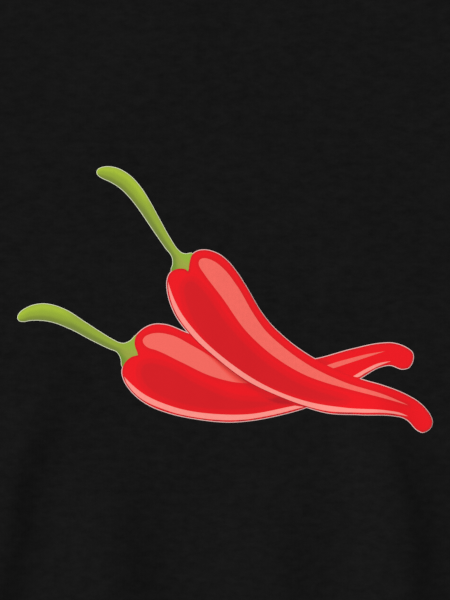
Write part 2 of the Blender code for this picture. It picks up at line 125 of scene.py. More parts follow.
# Rows of points that follow the rounding of a closed edge, at these angles of its quarter round
ROUND_ROWS = tuple(EDGE_ROUND * (1 - math.cos(math.radians(a))) for a in (5, 10, 16, 23, 31, 40, 50))
SEAM_ROWS = (0.0004, 0.0011, 0.0022, 0.0038, 0.0055, 0.0075)
HEM_LINES = (0.0004, 0.0012, 0.0115, 0.0121, 0.0125, 0.0129, 0.0135, 0.0180, 0.0186, 0.0190, 0.0194, 0.0200,
             0.0212, 0.0218, 0.0226)
POINT_SPACING = 0.005
BACK_SPACING = 0.012
OUTLINE_SPACING = 0.0014
TONED_SPACING = 0.0012
BAND_SPACING = 0.003
BASE_SPACING = 0.004

# Inks
WHITE_RIM = 0.00004
COLOUR_INSETS = (0.00032, 0.00032, 0.00048, 0.00048)
INK_STEP = 0.00009
INK_FILM = 0.00007
INK_LIFT = 0.00006

# Tones of the red ink, from 0 for plain red to 1 for the darkest line
BESIDE_BAND = 0.30
BESIDE_LIGHT = 0.34
AT_CONTACT = 0.60
ON_BAND = 0.62
AT_CLOTH = 0.72
IN_SHADOW = 0.84

# A fabric's stitches in millimetres: the width of a column and the height of a row
KNIT_COLUMN = 0.95
KNIT_ROW = 0.72

# Sockets of a Mix node for colours
MIX_FIRST = 6
MIX_SECOND = 7
MIX_RESULT = 2

# Soft ridges in the upper cloth, from the print's centre: start, end, half widths at the start and at the
# end (left of the ridge, right of it), height, shares of the length in which it rises and falls, bend, and
# whether the other side of the shirt has it too
RIDGES = (
    ((-0.127, -0.040), (-0.194, -0.392), (0.030, 0.014), (0.046, 0.020), 0.0078, 0.26, 0.0, -0.0030, False),
    ((-0.074, -0.078), (-0.112, -0.392), (0.038, 0.024), (0.058, 0.032), 0.0080, 0.36, 0.0, 0.0020, False),
    ((0.036, -0.072), (0.054, -0.392), (0.062, 0.024), (0.084, 0.032), 0.0072, 0.36, 0.0, -0.0030, False),
    ((0.104, -0.045), (0.160, -0.392), (0.036, 0.017), (0.048, 0.024), 0.0088, 0.26, 0.0, -0.0030, False),
    ((0.214, -0.190), (0.221, -0.392), (0.010, 0.010), (0.020, 0.018), 0.0020, 0.60, 0.0, -0.0030, False),
    ((0.236, 0.036), (0.176, -0.170), (0.008, 0.008), (0.018, 0.020), 0.0034, 0.20, 0.60, 0.0100, True),
    ((0.246, 0.010), (0.212, -0.230), (0.007, 0.007), (0.014, 0.014), 0.0028, 0.20, 0.60, 0.0060, True),
    ((0.222, 0.090), (0.140, 0.062), (0.008, 0.008), (0.016, 0.018), 0.0022, 0.20, 0.60, -0.0080, True),
    ((0.205, 0.215), (0.150, 0.110), (0.009, 0.009), (0.018, 0.018), 0.0020, 0.25, 0.60, 0.0080, True),
    ((0.120, 0.290), (0.106, 0.160), (0.010, 0.010), (0.020, 0.020), 0.0016, 0.30, 0.60, 0.0060, True),
    ((0.258, 0.075), (0.352, 0.085), (0.007, 0.007), (0.014, 0.014), 0.0034, 0.15, 0.35, -0.0050, True),
    ((0.238, 0.130), (0.372, 0.120), (0.008, 0.008), (0.018, 0.018), 0.0030, 0.20, 0.45, -0.0060, True),
    ((0.234, 0.230), (0.390, 0.165), (0.010, 0.010), (0.016, 0.016), 0.0024, 0.30, 0.35, 0.0080, True),
)
MIRRORED_SHARE = 0.85

# Printed shapes: knots in millimetres from the print's centre. A knot marked True is a sharp corner
UPPER_STEM_TOP = (
    (-90.0, 89.6), (-88.5, 92.0), (-85.4, 93.2), (-77.1, 92.9), (-66.6, 87.4), (-59.5, 79.9), (-52.7, 69.5),
    (-45.6, 56.5), (-38.2, 43.3), (-32.8, 35.4), (-30.0, 33.1), (-27.3, 32.5), (-23.3, 33.1),
)
UPPER_STEM_FOOT = ((-19.6, 26.6), (-21.0, 17.5), (-31.5, 15.4))
UPPER_STEM_UNDER = (
    (-38.0, 20.8), (-36.8, 25.2), (-37.1, 29.4), (-42.2, 36.7), (-52.6, 51.8), (-59.9, 62.6), (-66.6, 71.3),
    (-73.6, 78.2), (-80.7, 82.7), (-86.2, 85.2), (-88.9, 87.1),
)
LOWER_STEM_TOP = (
    (-145.4, -12.2), (-144.4, -9.6), (-138.5, -5.0), (-127.8, -2.4), (-120.5, -3.3), (-112.8, -6.0),
    (-96.7, -16.0), (-87.5, -22.0), (-77.6, -27.9), (-74.1, -29.6), (-71.2, -30.1), (-66.2, -28.1),
    (-62.9, -24.7), (-60.0, -22.9),
)
LOWER_STEM_FOOT = ((-55.3, -26.6), (-52.5, -36.4), (-59.5, -46.2), (-67.9, -49.0))
LOWER_STEM_UNDER = (
    (-72.4, -46.3), (-73.0, -41.5), (-75.9, -36.4), (-80.5, -34.5), (-94.4, -27.8), (-108.5, -20.4),
    (-122.5, -15.3), (-129.5, -14.4), (-136.5, -14.5), (-141.4, -15.3), (-144.2, -14.7),
)
UPPER_PEPPER = (
    (-25.9, 20.4, True), (-25.3, 26.0), (-22.9, 32.4), (-20.0, 34.4), (-13.3, 35.4), (-9.1, 34.5),
    (-3.3, 31.9), (2.8, 26.8), (8.5, 19.8), (14.8, 10.1), (26.2, -9.0), (31.6, -16.0), (38.9, -23.3),
    (48.6, -31.4), (58.4, -38.1), (73.5, -46.3), (86.1, -51.7), (98.1, -55.9), (108.5, -58.8),
    (128.8, -66.9), (135.1, -70.7), (139.9, -75.1), (143.5, -79.9), (145.4, -85.1), (144.3, -89.4),
    (141.4, -91.9), (138.2, -93.0), (134.6, -91.5), (127.2, -84.2), (123.8, -82.4), (118.3, -81.3),
    (94.5, -80.4), (70.0, -79.0), (56.6, -75.3), (37.6, -68.2), (15.7, -57.8), (-7.4, -40.8),
    (-24.9, -24.4), (-36.6, -7.5), (-40.9, 7.7), (-41.0, 13.3), (-38.8, 19.2), (-30.8, 22.5), (-27.3, 21.8),
)
UPPER_LIGHT = (
    (-18.5, 26.0), (-17.4, 28.4), (-14.4, 29.3), (-11.0, 28.6), (-6.3, 26.3), (0.1, 20.8), (8.1, 10.4),
    (21.2, -11.6), (28.3, -21.3), (37.8, -30.3), (58.9, -45.7), (83.4, -57.4), (112.7, -66.7),
    (122.3, -70.8), (128.1, -73.5, True), (112.8, -69.1), (83.4, -61.5), (70.1, -57.7), (58.9, -53.7),
    (36.7, -41.2), (15.3, -22.3), (-2.1, 1.8), (-14.9, 18.8), (-17.7, 23.1),
)
UPPER_DARK = (
    (-29.2, 8.4), (-26.2, 13.3), (-22.8, 13.8), (-16.8, 9.1), (0.0, -13.8), (23.8, -39.2), (57.8, -60.4),
    (73.5, -65.8), (86.1, -70.0, True), (73.5, -71.8), (57.8, -68.9), (32.2, -61.3), (4.9, -45.9),
    (-18.6, -21.4), (-28.4, 1.4),
)
UPPER_EDGE = (
    (-39.9, 13.0, True), (-38.0, 6.9), (-30.1, -9.8), (-21.9, -20.6), (2.2, -42.9), (32.3, -61.8),
    (59.6, -71.5), (84.0, -75.3), (114.4, -77.3), (122.0, -78.7), (128.1, -81.3, True), (114.4, -79.0),
    (94.4, -78.6), (70.2, -77.4), (56.9, -74.2), (38.0, -67.3), (16.2, -56.9), (-6.7, -39.9),
    (-24.0, -23.6), (-35.3, -7.0), (-39.5, 7.3),
)
LOWER_PEPPER = (
    (-61.3, -38.3, True), (-63.8, -30.1), (-62.6, -24.9), (-59.2, -21.2), (-49.7, -16.6), (-42.7, -16.7),
    (-27.3, -22.2), (21.0, -42.0), (45.5, -43.3), (63.2, -40.9), (88.8, -34.0), (110.6, -29.8),
    (116.9, -29.7), (122.9, -31.1), (128.1, -33.6), (131.6, -36.8), (132.2, -39.9), (131.1, -44.5),
    (128.7, -47.7), (125.0, -48.7), (114.8, -46.0), (109.2, -47.1), (95.2, -54.8), (66.5, -71.4),
    (56.4, -75.7), (38.6, -80.8), (16.1, -84.9), (4.9, -85.7), (-17.9, -83.9), (-41.3, -78.8),
    (-51.1, -75.1), (-66.5, -63.4), (-70.7, -57.1), (-72.5, -50.4), (-71.3, -45.2), (-68.3, -41.3),
    (-64.4, -38.9),
)
LOWER_LIGHT = (
    (-57.6, -28.4), (-56.2, -25.8), (-53.1, -24.1), (-48.3, -23.1), (-37.8, -24.5), (-23.1, -31.8),
    (4.9, -49.8), (10.8, -54.6), (16.1, -58.3, True), (9.1, -57.8), (-8.9, -53.5), (-31.3, -43.1),
    (-48.8, -34.9), (-53.6, -33.4), (-56.2, -31.5),
)
LOWER_DARK = (
    (-59.4, -50.9), (-57.8, -45.5), (-51.8, -43.8), (-42.8, -45.5), (-19.6, -58.1), (6.3, -68.7),
    (28.7, -70.6), (46.2, -71.4, True), (28.7, -75.0), (-2.8, -77.2), (-29.4, -73.2), (-51.8, -63.4),
    (-57.4, -57.4),
)
LOWER_EDGE = (
    (-70.7, -53.5, True), (-66.1, -58.2), (-59.6, -63.8), (-37.1, -74.4), (-2.7, -80.0), (15.2, -80.0),
    (49.0, -73.9, True), (55.2, -74.8, True), (33.0, -80.5), (10.6, -83.9), (-20.3, -82.1), (-39.2, -77.7),
    (-63.8, -64.6), (-68.9, -57.8),
)
LOWER_SHADOW = (
    (24.0, -65.6, True), (32.0, -68.2), (38.0, -66.4), (44.0, -69.0), (51.0, -74.2, True), (44.0, -74.0),
    (38.0, -73.6), (32.0, -71.7),
)
TIP_STREAK = (
    (71.3, -45.7, True), (77.9, -43.5), (86.9, -41.0), (98.5, -38.1), (112.0, -35.8, True), (98.6, -40.3),
    (87.0, -44.1), (75.9, -47.8, True),
)
TIP_EDGE = (
    (89.6, -53.4, True), (98.2, -48.4), (108.1, -44.1), (116.2, -42.8, True), (108.1, -45.9), (98.2, -51.0),
    (92.1, -54.0),
)


# Shapes in the plane


def smooth(share):
    """A soft step from 0 to 1."""
    share = np.clip(share, 0, 1)
    return share * share * (3 - 2 * share)


def fading(distance, start, width):
    """1 up to a distance, and from there down to 0 over a width."""
    return 1 - smooth((distance - start) / width)


def bell(distance, width):
    """1 on a line, and falling softly to nearly 0 at twice the width from it."""
    return np.exp(-((distance / width) ** 2))


def groove(distance, depth, width):
    return -depth * bell(distance, width)


def unit_vector(vector):
    return vector / np.linalg.norm(vector)


def unit_rows(vectors):
    return vectors / np.linalg.norm(vectors, axis=1)[:, None]


def turned_right(vectors):
    """The vectors turned by a quarter, clockwise."""
    return np.column_stack([vectors[:, 1], -vectors[:, 0]])


def folded(points):
    """The points of both halves of the shirt, laid on its right half."""
    return np.column_stack([np.abs(points[:, 0]), points[:, 1]])


def mirrored(points):
    return points[::-1] * (-1, 1)


def distance_to(points, start, end):
    along = end - start
    share = np.clip((points - start) @ along / (along @ along), 0, 1)
    return np.linalg.norm(points - (start + share[:, None] * along), axis=1)


def distance_to_line(points, line):
    nearest = np.full(len(points), np.inf)
    for start, end in zip(line[:-1], line[1:]):
        nearest = np.minimum(nearest, distance_to(points, start, end))
    return nearest


def to_outline(points, outline):
    return distance_to_line(points, np.concatenate([outline, outline[:1]]))


def inside(points, outline):
    """Which of the points lie inside a closed outline."""
    hit = np.zeros(len(points), bool)
    for start, end in zip(np.roll(outline, 1, axis=0), outline):
        if start[1] != end[1]:
            spans = (start[1] > points[:, 1]) != (end[1] > points[:, 1])
            share = (points[:, 1] - start[1]) / (end[1] - start[1])
            hit ^= spans & (start[0] + share * (end[0] - start[0]) > points[:, 0])
    return hit


def signed_area(outline):
    """The area inside an outline, negative where it runs clockwise."""
    before = np.roll(outline, 1, axis=0)
    return np.sum(before[:, 0] * outline[:, 1] - before[:, 1] * outline[:, 0]) / 2


def line_points(start, end):
    """Points from start up to, but not at, end."""
    steps = max(1, round(np.linalg.norm(end - start) / POINT_SPACING))
    return start + np.arange(steps)[:, None] / steps * (end - start)


def neck_points(half_width, drop, steps, first=0.0, last=math.pi):
    """A neckline, from the right shoulder at angle 0 round to the left one at pi."""
    angles = np.linspace(first, last, steps + 1)
    return np.column_stack([half_width * np.cos(angles), HPS_Y - drop * np.sin(angles)])


def armhole(shares):
    """The right armhole seam, from the shoulder point to the underarm, with its outward normals."""
    share = np.asarray(shares)[:, None]
    rest = 1 - share
    first, second = ARMHOLE_HANDLES
    places = rest**3 * SHOULDER + 3 * rest**2 * share * first + 3 * rest * share**2 * second
    places = places + share**3 * UNDERARM
    heading = rest**2 * (first - SHOULDER) + 2 * rest * share * (second - first)
    heading = heading + share**2 * (UNDERARM - second)
    return places, -turned_right(unit_rows(heading))


def armhole_shares(middle_count):
    """Places along the armhole, close together near its ends, where the cloth is rounded."""
    length = np.linalg.norm(UNDERARM - SHOULDER)
    near = [0.0] + [row / length for row in ROUND_ROWS]
    middle = np.linspace(near[-1], 1 - near[-1], middle_count + 1)[1:-1]
    return np.array(near + list(middle) + [1 - share for share in reversed(near)])


def hermite(start, end, leave, arrive, share):
    square = share * share
    cube = square * share
    return (
        (2 * cube - 3 * square + 1) * start
        + (cube - 2 * square + share) * leave
        + (3 * square - 2 * cube) * end
        + (cube - square) * arrive
    )


def tangent(before, here, after):
    """Unit direction of an outline at a knot, leaning to its nearer neighbour."""
    back = here - before
    ahead = after - here
    back_length = np.linalg.norm(back)
    ahead_length = np.linalg.norm(ahead)
    if back_length == 0:
        return ahead / ahead_length
    if ahead_length == 0:
        return back / back_length
    return unit_vector(back * (ahead_length / back_length) + ahead * (back_length / ahead_length))


def spline_outline(knots):
    """A closed smooth outline through the knots, in metres on the shirt, broken at the sharp ones."""
    places = np.array([knot[:2] for knot in knots]) * MM + (0, PRINT_Y)
    sharp = [len(knot) == 3 for knot in knots]
    count = len(places)
    outline = []
    for index in range(count):
        after = (index + 1) % count
        start = places[index]
        end = places[after]
        chord = np.linalg.norm(end - start)
        leave = tangent(start if sharp[index] else places[index - 1], start, end) * chord
        arrive = tangent(start, end, end if sharp[after] else places[(index + 2) % count]) * chord
        steps = max(1, round(chord / OUTLINE_SPACING))
        outline += [hermite(start, end, leave, arrive, step / steps) for step in range(steps)]
    return np.array(outline)


def grown(outline, amount):
    """The outline moved outwards, or inwards by a negative amount, whichever way round it runs."""
    along = unit_rows(np.roll(outline, -1, axis=0) - np.roll(outline, 1, axis=0))
    return outline + math.copysign(1, signed_area(outline)) * amount * turned_right(along)


def grid(low, high, spacing):
    """Staggered points over a box."""
    row_height = spacing * 0.87
    points = []
    for index, y in enumerate(np.arange(low[1], high[1], row_height)):
        xs = np.arange(low[0] + (index % 2) * spacing / 2, high[0], spacing)
        points.append(np.column_stack([xs, np.full(len(xs), y)]))
    return np.concatenate(points)


def thinned(points, cell):
    """At most one point in each small cell."""
    _, first = np.unique(np.round(points / cell).astype(int), axis=0, return_index=True)
    return points[np.sort(first)]


def beside(line, distances):
    """Copies of a line of points, moved to its right by each distance."""
    normal = turned_right(unit_rows(np.gradient(line, axis=0)))
    return np.concatenate([line + distance * normal for distance in distances])


# Heights of the cloth


def ridge(points, start, end, first_widths, last_widths, height, rise, fall, bend):
    """The height that one row of RIDGES adds."""
    start = np.array(start) + (0, PRINT_Y)
    end = np.array(end) + (0, PRINT_Y)
    length = np.linalg.norm(end - start)
    unit = (end - start) / length
    offset = points - start
    share = offset @ unit / length
    held = np.clip(share, 0, 1)
    across = offset @ np.array((-unit[1], unit[0])) - bend * np.sin(math.pi * held)
    left, right = (first + held * (last - first) for first, last in zip(first_widths, last_widths))
    grow = smooth(share / rise)
    if fall:
        grow = grow * smooth((1 - share) / fall)
    return height * grow * bell(across, np.where(across < 0, left, right))


def ripples(points, seed, count, lengths, height):
    """Gentle unevenness from a few sine waves in random directions."""
    draw = np.random.default_rng(seed)
    total = np.zeros(len(points))
    for _ in range(count):
        length = draw.uniform(*lengths)
        angle = draw.uniform(0, math.pi)
        phase = draw.uniform(0, 2 * math.pi)
        total += np.sin(2 * math.pi * (points @ (math.cos(angle), math.sin(angle))) / length + phase)
    return height * total / math.sqrt(count)


def closed_distance(points):
    """Distance to the nearest edge where the front turns into the back."""
    return np.min([distance_to(folded(points), start, end) for start, end in CLOSED_EDGES], axis=0)


def upper_underside(points):
    """Underside of the upper cloth: rounded up from the closed edges, with soft ridges and ripples."""
    inward = np.clip(closed_distance(points) / EDGE_ROUND, 0, 1)
    rounding = np.sqrt(1 - (1 - inward) ** 2)
    bent = points + np.column_stack([ripples(points, *WARP_ACROSS), ripples(points, *WARP_ALONG)])
    loft = LOFT + ripples(points, *SOFT_RIPPLES) + ripples(points, *FINE_RIPPLES)
    for *shape, both in RIDGES:
        loft = loft + ridge(bent, *shape)
        if both:
            loft = loft + MIRRORED_SHARE * ridge(bent * (-1, 1), *shape)
    return EDGE_FLOOR + rounding * np.maximum(loft, LOWEST_LOFT)


ARMHOLE_LINE = armhole(np.linspace(0, 1, 60))[0]
NECK_LINE = neck_points(NECK_HALF_WIDTH, FRONT_NECK_DROP, 60)


def seam_swell(distance):
    """The ridge of cloth turned back beside a seam, with a dip at the seam itself."""
    plateau = smooth(distance / SEAM_RISE) * fading(distance, SEAM_ALLOWANCE, SEAM_FALL)
    return SEAM_RIDGE * plateau + groove(distance, *SEAM_GROOVE)


def hem_swell(distance):
    """A turned-up hem: twice the cloth, drawn in along its two rows of stitches."""
    swell = HEM_SWELL * fading(distance, HEM_DEPTH - 0.0008, 0.0010)
    for row in HEM_ROWS:
        swell = swell + groove(distance - row, *HEM_ROW_GROOVE)
    return swell + groove(distance, *HEM_EDGE_GROOVE)


def front_thickness(points):
    swell = seam_swell(distance_to_line(folded(points), ARMHOLE_LINE))
    swell = swell + seam_swell(distance_to_line(points, NECK_LINE))
    return JERSEY + swell + hem_swell(points[:, 1] - HEM_Y)


def front_top(points):
    return upper_underside(points) + front_thickness(points)


def sleeve_top(points):
    """The sleeve's top at the grooves of its hem, where the stitches lie."""
    return upper_underside(points) + JERSEY + HEM_SWELL - CUFF_SINK


def tape_top(points):
    return np.full(len(points), JERSEY + TAPE_LIFT + TAPE_THICKNESS)


# Solids


def fill(outlines, inner):
    """Counterclockwise triangles inside one or more outlines, which may overlap."""
    edges = []
    first = 0
    for outline in outlines:
        count = len(outline)
        edges += [(first + i, first + (i + 1) % count) for i in range(count)]
        first += count
    points = [Vector(point) for point in np.concatenate([*outlines, inner])]
    merge_distance = 1e-7
    places, _, triangles, _, _, _ = delaunay_2d_cdt(points, edges, [], 0, merge_distance, False)
    places = np.array([tuple(place) for place in places])
    triangles = np.array(triangles)
    middles = places[triangles].mean(axis=1)
    triangles = triangles[np.any([inside(middles, outline) for outline in outlines], axis=0)]
    a, b, c = places[triangles[:, 0]], places[triangles[:, 1]], places[triangles[:, 2]]
    turn = (b[:, 0] - a[:, 0]) * (c[:, 1] - a[:, 1]) - (b[:, 1] - a[:, 1]) * (c[:, 0] - a[:, 0])
    triangles[turn < 0] = triangles[turn < 0][:, ::-1]
    used, compact = np.unique(triangles, return_inverse=True)
    return places[used], compact.reshape(-1, 3)


def sheet_faces(triangles, count):
    """Faces of a closed sheet: the upper triangles, the same ones below and the walls round the rim."""
    faces = [tuple(t) for t in triangles.tolist()]
    below = [(c + count, b + count, a + count) for a, b, c in faces]
    sides = {(t[i], t[(i + 1) % 3]) for t in faces for i in range(3)}
    walls = [(a, a + count, b + count, b) for a, b in sorted(sides) if (b, a) not in sides]
    return faces + below + walls


def tube_faces(loops, corners, flip):
    """Quads between neighbouring loops of points, the last one of them next to the first."""
    faces = []
    for loop in range(loops):
        here = loop * corners
        there = ((loop + 1) % loops) * corners
        for corner in range(corners):
            after = (corner + 1) % corners
            face = (here + corner, there + corner, there + after, here + after)
            faces.append(face[::-1] if flip else face)
    return faces


def placed(name, data):
    """A new object in the scene."""
    made = bpy.data.objects.new(name, data)
    bpy.context.collection.objects.link(made)
    return made


def add_piece(name, points, faces, material, nodes=(), sharp=50):
    """A mesh that rides on the shirt's body, with edges sharp from an angle in degrees."""
    mesh = bpy.data.meshes.new(name)
    mesh.from_pydata(np.asarray(points).tolist(), [], faces)
    mesh.update()
    mesh.shade_smooth()
    mesh.set_sharp_from_angle(angle=math.radians(sharp))
    mesh.materials.append(material)
    piece = placed(name, mesh)
    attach(piece, BODY)
    if nodes:
        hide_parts(*nodes)
    return piece


def add_sheet(name, flat, under, top, material, nodes):
    places, triangles = flat
    points = [np.column_stack([places, heights]) for heights in (top, under)]
    faces = sheet_faces(triangles, len(places))
    return add_piece(name, np.concatenate(points), faces, material, nodes)


# Materials


def srgb(*colour):
    """Linear colour of an 8-bit one."""
    shares = [value / 255 for value in colour]
    return tuple(c / 12.92 if c <= 0.04045 else ((c + 0.055) / 1.055) ** 2.4 for c in shares)


def stops(*rows):
    """A ramp's stops, from rows of place, red, green and blue."""
    return [(place, srgb(*colour)) for place, *colour in rows]


class Nodes:
    """A material's node tree, with short calls for the nodes used here."""

    def __init__(self, name, roughness, specular):
        self.material = bpy.data.materials.new(name)
        self.material.use_nodes = True
        self.tree = self.material.node_tree
        self.shader = self.tree.nodes["Principled BSDF"]
        self.feed(self.shader, {"Roughness": roughness, "Specular IOR Level": specular})

    def feed(self, node, inputs):
        """Sets each named input to a value, or joins it to another node's output."""
        for name, value in inputs.items():
            if isinstance(value, (int, float, tuple)):
                node.inputs[name].default_value = value
            else:
                self.tree.links.new(value, node.inputs[name])

    def add(self, kind, inputs, **settings):
        made = self.tree.nodes.new(kind)
        for key, value in settings.items():
            setattr(made, key, value)
        self.feed(made, inputs)
        return made

    def math(self, operation, first, second=0.0):
        return self.add("ShaderNodeMath", {0: first, 1: second}, operation=operation).outputs[0]

    def scaled(self, source, factor, shift=0.0):
        product = self.math("MULTIPLY", source, factor)
        return self.math("ADD", product, shift) if shift else product

    def wave(self, source):
        """A sine with one turn for each 1 of the source."""
        return self.math("SINE", self.scaled(source, 2 * math.pi))

    def place(self, turn=0.0):
        """X and Y in millimetres on the object, turned about Z."""
        where = self.add("ShaderNodeTexCoord", {}).outputs["Object"]
        vector = self.mapping(where, (1000, 1000, 1000), turn)
        split = self.add("ShaderNodeSeparateXYZ", {0: vector})
        return split.outputs[0], split.outputs[1], vector

    def mapping(self, vector, scale, turn=0.0):
        inputs = {"Vector": vector, "Rotation": (0, 0, turn), "Scale": scale}
        return self.add("ShaderNodeMapping", inputs).outputs["Vector"]

    def noise(self, vector, scale, detail=3.0, roughness=0.55):
        inputs = {"Vector": vector, "Scale": scale, "Detail": detail, "Roughness": roughness}
        return self.add("ShaderNodeTexNoise", inputs).outputs["Fac"]

    def attribute(self, name):
        return self.add("ShaderNodeAttribute", {}, attribute_name=name).outputs["Fac"]

    def ramp(self, source, colours):
        made = self.add("ShaderNodeValToRGB", {0: source})
        elements = made.color_ramp.elements
        while len(elements) < len(colours):
            elements.new(0.5)
        for element, (position, colour) in zip(elements, colours):
            element.position = position
            element.color = (*colour, 1.0)
        return made.outputs["Color"]

    def shade(self, source, colour, dim, lit, low=0.0, high=1.0):
        """Colours the surface from dim to lit times the colour, as the source goes from low to high."""
        ends = [tuple(min(1.0, factor * c) for c in colour) for factor in (dim, lit)]
        self.colour(self.ramp(source, tuple(zip((low, high), ends))))

    def bump(self, height, distance, strength, normal=None):
        inputs = {"Height": height, "Distance": distance, "Strength": strength}
        if normal is not None:
            inputs["Normal"] = normal
        return self.add("ShaderNodeBump", inputs).outputs["Normal"]

    def colour(self, source):
        self.feed(self.shader, {"Base Color": source})

    def normal(self, source):
        self.feed(self.shader, {"Normal": source})


def knit_height(nodes, x, y, column=KNIT_COLUMN, row=KNIT_ROW):
    """Columns of small V stitches, from 0 to 1."""
    part = nodes.math("FRACT", nodes.scaled(x, 1 / column))
    lean = nodes.math("ABSOLUTE", nodes.math("SUBTRACT", part, 0.5))
    height = nodes.math("ADD", nodes.scaled(y, 1 / row), nodes.scaled(lean, 1.1))
    loops = nodes.scaled(nodes.wave(height), 0.3, 0.7)
    return nodes.math("MULTIPLY", loops, nodes.math("SINE", nodes.scaled(part, math.pi)))


def cloth_material(name, grey, turn=0.0, column=KNIT_COLUMN, row=KNIT_ROW, bump=0.32):
    """Matt knitted cloth with a slightly uneven black, painted shade between its knit loops, and a little
    fuzz that catches light from the side.
    """
    nodes = Nodes(name, 0.95, 0.05)
    x, y, vector = nodes.place(turn)
    height = knit_height(nodes, x, y, column, row)
    fuzz = nodes.noise(vector, 0.9, 4.0, 0.7)
    grain = nodes.noise(nodes.mapping(vector, (0.55, 1.0, 1.0)), 0.22, roughness=0.70)
    cloud = nodes.noise(vector, 0.013)
    # The knit's height also darkens the colour between the loops: painted shade, added to the random grain
    # and cloud.
    grain_and_knit_shade = nodes.math("ADD", nodes.scaled(height, 0.05), nodes.scaled(grain, 0.75))
    grain_and_knit_shade = nodes.math("ADD", grain_and_knit_shade, nodes.scaled(cloud, 0.20))
    nodes.shade(grain_and_knit_shade, (grey, grey, grey), 0.24, 1.76)
    fine = nodes.bump(fuzz, 0.00025, 0.25)
    nodes.normal(nodes.bump(height, 0.00022, bump, fine))
    sheen = {"Sheen Weight": 0.16, "Sheen Roughness": 0.35, "Sheen Tint": (0.7, 0.7, 0.7, 1.0)}
    nodes.feed(nodes.shader, sheen)
    return nodes.material


def tape_material(name, grey):
    """Herringbone tape, with painted shade in the grooves of its twill and painted highlight on its ridges,
    which the bump raises too.
    """
    nodes = Nodes(name, 0.85, 0.10)
    x, y, _ = nodes.place()
    part = nodes.math("FRACT", nodes.scaled(y, 0.25))
    part = nodes.math("ABSOLUTE", nodes.math("SUBTRACT", part, 0.5))
    slant = nodes.math("ADD", nodes.scaled(x, 1.1), nodes.scaled(part, 3.0))
    twill_relief_and_shade = nodes.scaled(nodes.wave(slant), 0.5, 0.5)
    # The twill's height also sets the colour: painted shade in its grooves, painted highlight on its ridges.
    nodes.shade(twill_relief_and_shade, (grey, grey, grey), 0.6, 1.6, 0.1, 0.9)
    nodes.normal(nodes.bump(twill_relief_and_shade, 0.0002, 0.5))
    return nodes.material


def thread_material():
    nodes = Nodes("black_thread", 0.55, 0.30)
    _, _, vector = nodes.place()
    twist = nodes.noise(vector, 3.0, 2.0)
    nodes.colour(nodes.ramp(twist, ((0.3, (0.008, 0.008, 0.009)), (0.7, (0.022, 0.022, 0.024)))))
    nodes.normal(nodes.bump(twist, 0.0001, 0.4))
    return nodes.material


def ink_nodes(name):
    """A soft ink through which the knit shows faintly, and the place on it."""
    nodes = Nodes(name, 0.72, 0.10)
    x, y, vector = nodes.place()
    skin = nodes.bump(nodes.noise(vector, 0.6), 0.00012, 0.15)
    nodes.normal(nodes.bump(knit_height(nodes, x, y), 0.00010, 0.18, skin))
    return nodes, vector


def ink_material(name, colour):
    nodes, vector = ink_nodes(name)
    nodes.shade(nodes.noise(vector, 0.35), colour, 0.965, 1.03, 0.3, 0.7)
    return nodes.material


def toned_ink(name, *looks):
    """Ink whose colour follows the piece's own tone, and goes from each look to the next along its reach."""
    nodes, _ = ink_nodes(name)
    tone = nodes.attribute("tone")
    colour = nodes.ramp(tone, looks[0])
    for index, look in enumerate(looks[1:]):
        share = nodes.math("SUBTRACT", nodes.attribute("reach"), float(index))
        share.node.use_clamp = True
        inputs = {"Factor": share, MIX_FIRST: colour, MIX_SECOND: nodes.ramp(tone, look)}
        colour = nodes.add("ShaderNodeMix", inputs, data_type="RGBA").outputs[MIX_RESULT]
    nodes.colour(colour)
    return nodes.material


JERSEY_GREY = 0.0070
jersey = cloth_material("black_jersey_knit", JERSEY_GREY)
jersey_inside = cloth_material("black_jersey_back", JERSEY_GREY, row=0.60, bump=0.45)
sleeve_knits = {
    side: cloth_material(f"black_sleeve_knit_{word}", JERSEY_GREY, turn=side * math.radians(62))
    for side, word in SIDES
}
rib_knit = cloth_material("black_rib_knit", 0.0080, column=0.8, row=0.65)
tape_weave = tape_material("black_tape_weave", 0.0095)
thread = thread_material()

ink_red = toned_ink("ink_red_tones", stops(
    (0.0, 239, 22, 32), (BESIDE_BAND, 228, 24, 33), (ON_BAND, 215, 26, 34), (1.0, 168, 22, 34),
))
ink_light = ink_material("ink_light_red_film", srgb(246, 106, 96))
ink_shaded_light = toned_ink("ink_light_red_tones", stops(
    (0.0, 246, 106, 96), (0.45, 244, 89, 80), (0.75, 241, 78, 70), (0.90, 231, 70, 63), (1.0, 212, 62, 56),
))
ink_pink = ink_material("ink_pink_film", srgb(255, 149, 139))
ink_white = toned_ink("ink_white_film", stops((0.0, 236, 240, 208), (1.0, 236, 190, 188)))
tip_look = stops(
    (0.00, 154, 174, 72), (0.09, 165, 190, 59), (0.22, 168, 194, 55), (0.42, 152, 178, 54),
    (0.62, 146, 169, 55), (0.76, 129, 148, 52), (0.88, 123, 141, 57), (1.00, 127, 143, 76),
)
middle_look = stops(
    (0.00, 150, 168, 70), (0.15, 149, 171, 60), (0.36, 149, 174, 55), (0.48, 144, 167, 60),
    (0.60, 131, 152, 55), (0.72, 123, 143, 55), (0.86, 124, 140, 66), (1.00, 132, 148, 84),
)
foot_look = stops(
    (0.00, 144, 180, 62), (0.30, 148, 180, 58), (0.46, 158, 170, 68), (0.66, 150, 165, 64),
    (0.82, 120, 150, 50), (1.00, 108, 144, 48),
)
ink_green = toned_ink("ink_green_tones", tip_look, middle_look, foot_look)


# The garment


